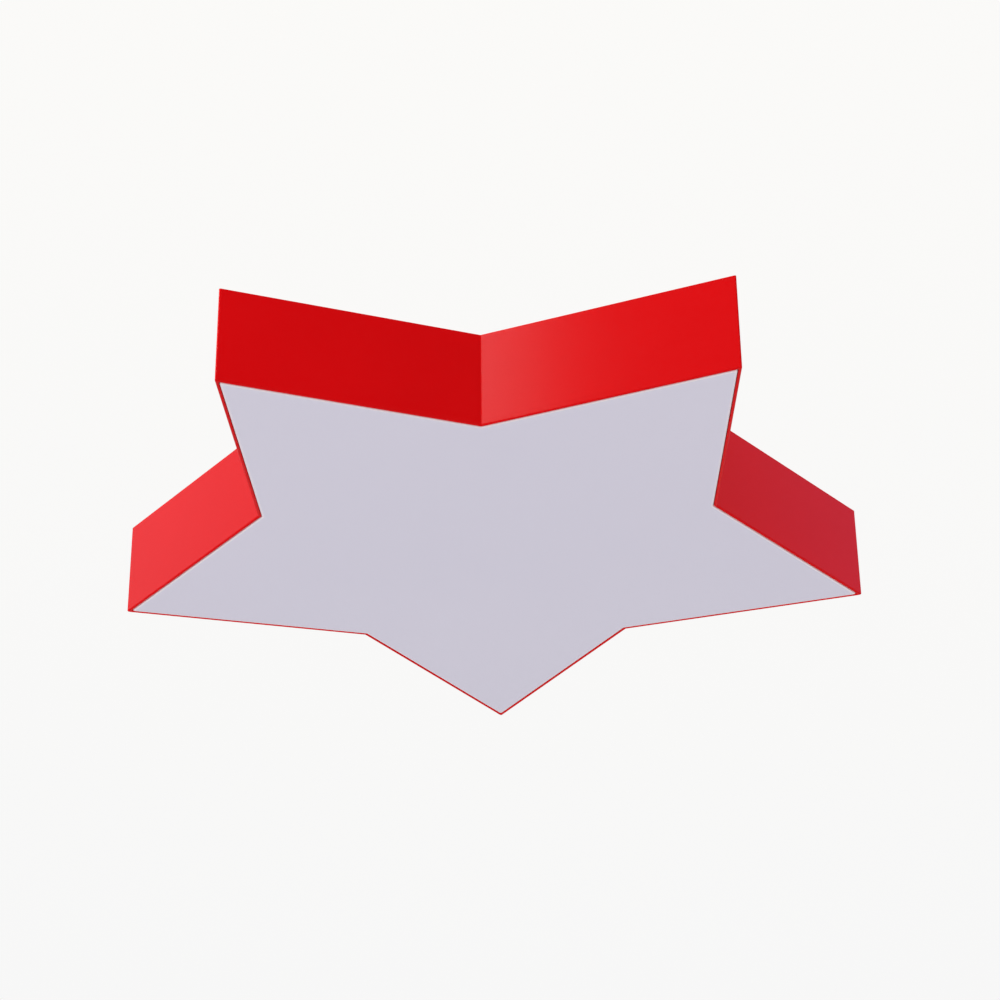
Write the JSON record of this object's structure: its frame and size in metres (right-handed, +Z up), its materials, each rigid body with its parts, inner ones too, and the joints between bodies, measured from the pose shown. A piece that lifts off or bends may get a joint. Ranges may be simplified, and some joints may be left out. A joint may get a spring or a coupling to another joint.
{
  "type": "star ceiling light",
  "caption": "Star-shaped flush ceiling light: folded red steel band, flat opal diffuser held by spring clips, LED strips on a white back plate, slotted ceiling bracket.",
  "frame": {"origin": "middle of the ceiling bracket's top face, in the plane of the ceiling", "axes": "+Z up into the ceiling, +Y towards one point of the star, +X across the ceiling bracket's length"},
  "size_m": [0.5002, 0.4758, 0.065],
  "materials": {
    "band_red": "satin",
    "plate_white": "satin",
    "zinc_steel": "satin",
    "screw_steel": "satin",
    "nut_nickel": "polished",
    "spring_steel": "satin",
    "tag_tin": "satin",
    "opal_acrylic": "satin",
    "led_board": "satin",
    "driver_plastic": "matte",
    "terminal_plastic": "satin",
    "grommet_rubber": "matte",
    "lead_brown": "satin",
    "lead_blue": "satin",
    "lead_green_yellow": "satin",
    "lead_red": "satin",
    "lead_black": "satin"
  },
  "bodies": {
    "housing": {"star_band": "band_red", "back_plate": "plate_white", "corner_bracket_1": "zinc_steel", "corner_bracket_2": "zinc_steel", "corner_bracket_3": "zinc_steel", "corner_bracket_4": "zinc_steel", "corner_bracket_5": "zinc_steel", "corner_screw_1": "screw_steel", "corner_screw_2": "screw_steel", "corner_screw_3": "screw_steel", "corner_screw_4": "screw_steel", "corner_screw_5": "screw_steel", "ceiling_bracket": "zinc_steel", "bracket_bolt_1": "screw_steel", "bracket_bolt_2": "screw_steel", "lock_nut_1": "screw_steel", "lock_nut_2": "screw_steel", "cable_grommet": "grommet_rubber", "led_strip_1": "led_board", "led_strip_2": "led_board", "led_strip_3": "led_board", "led_strip_4": "led_board", "led_strip_5": "led_board", "strip_screw_1": "screw_steel", "strip_screw_2": "screw_steel", "strip_screw_3": "screw_steel", "strip_screw_4": "screw_steel", "strip_screw_5": "screw_steel", "led_driver": "driver_plastic", "driver_screw_1": "screw_steel", "driver_screw_2": "screw_steel", "terminal_block": "terminal_plastic", "terminal_screw": "screw_steel", "earth_tag": "tag_tin", "earth_screw": "screw_steel", "live_lead": "lead_brown", "neutral_lead": "lead_blue", "earth_lead": "lead_green_yellow", "led_supply_lead": "lead_red", "led_return_lead": "lead_black", "led_jumper_1": "lead_red", "led_jumper_2": "lead_black", "led_jumper_3": "lead_red", "led_jumper_4": "lead_black", "clip_foot_1": "spring_steel", "clip_foot_2": "spring_steel", "clip_foot_3": "spring_steel", "clip_foot_4": "spring_steel", "clip_foot_5": "spring_steel"},
    "diffuser": {"diffuser_panel": "opal_acrylic", "diffuser_skirt": "opal_acrylic"},
    "clip_1": {"clip_leaf_1": "spring_steel"},
    "clip_2": {"clip_leaf_2": "spring_steel"},
    "clip_3": {"clip_leaf_3": "spring_steel"},
    "clip_4": {"clip_leaf_4": "spring_steel"},
    "clip_5": {"clip_leaf_5": "spring_steel"},
    "nut_1": {"cap_nut_1": "nut_nickel"},
    "nut_2": {"cap_nut_2": "nut_nickel"}
  },
  "joints": [
    {"name": "diffuser_slide", "type": "slide", "parent": "housing", "child": "diffuser", "axis": [0, 0, -1], "range_m": [0, 0.12]},
    {"name": "clip_flex_1", "type": "hinge", "parent": "housing", "child": "clip_1", "pos_m": [0.03284, 0.18008, -0.01405], "axis": [-0.5473, 0.8369, 0], "range_deg": [0, 6], "stiffness_Nm_per_rad": 1.2, "springref_deg": -2.86},
    {"name": "clip_flex_2", "type": "hinge", "parent": "housing", "child": "clip_2", "pos_m": [-0.16112, 0.08688, -0.01405], "axis": [-0.9651, -0.2619, 0], "range_deg": [0, 6], "stiffness_Nm_per_rad": 1.2, "springref_deg": -2.86},
    {"name": "clip_flex_3", "type": "hinge", "parent": "housing", "child": "clip_3", "pos_m": [-0.13242, -0.12639, -0.01405], "axis": [-0.0491, -0.9988, 0], "range_deg": [0, 6], "stiffness_Nm_per_rad": 1.2, "springref_deg": -2.86},
    {"name": "clip_flex_4", "type": "hinge", "parent": "housing", "child": "clip_4", "pos_m": [0.07928, -0.16499, -0.01405], "axis": [0.9347, -0.3554, 0], "range_deg": [0, 6], "stiffness_Nm_per_rad": 1.2, "springref_deg": -2.86},
    {"name": "clip_flex_5", "type": "hinge", "parent": "housing", "child": "clip_5", "pos_m": [0.18142, 0.02442, -0.01405], "axis": [0.6268, 0.7792, 0], "range_deg": [0, 6], "stiffness_Nm_per_rad": 1.2, "springref_deg": -2.86},
    {"name": "cap_nut_spin_1", "type": "hinge", "parent": "housing", "child": "nut_1", "pos_m": [-0.075, 0, -0.0138], "axis": [0, 0, 1], "continuous": true},
    {"name": "cap_nut_spin_2", "type": "hinge", "parent": "housing", "child": "nut_2", "pos_m": [0.075, 0, -0.0138], "axis": [0, 0, 1], "continuous": true}
  ]
}
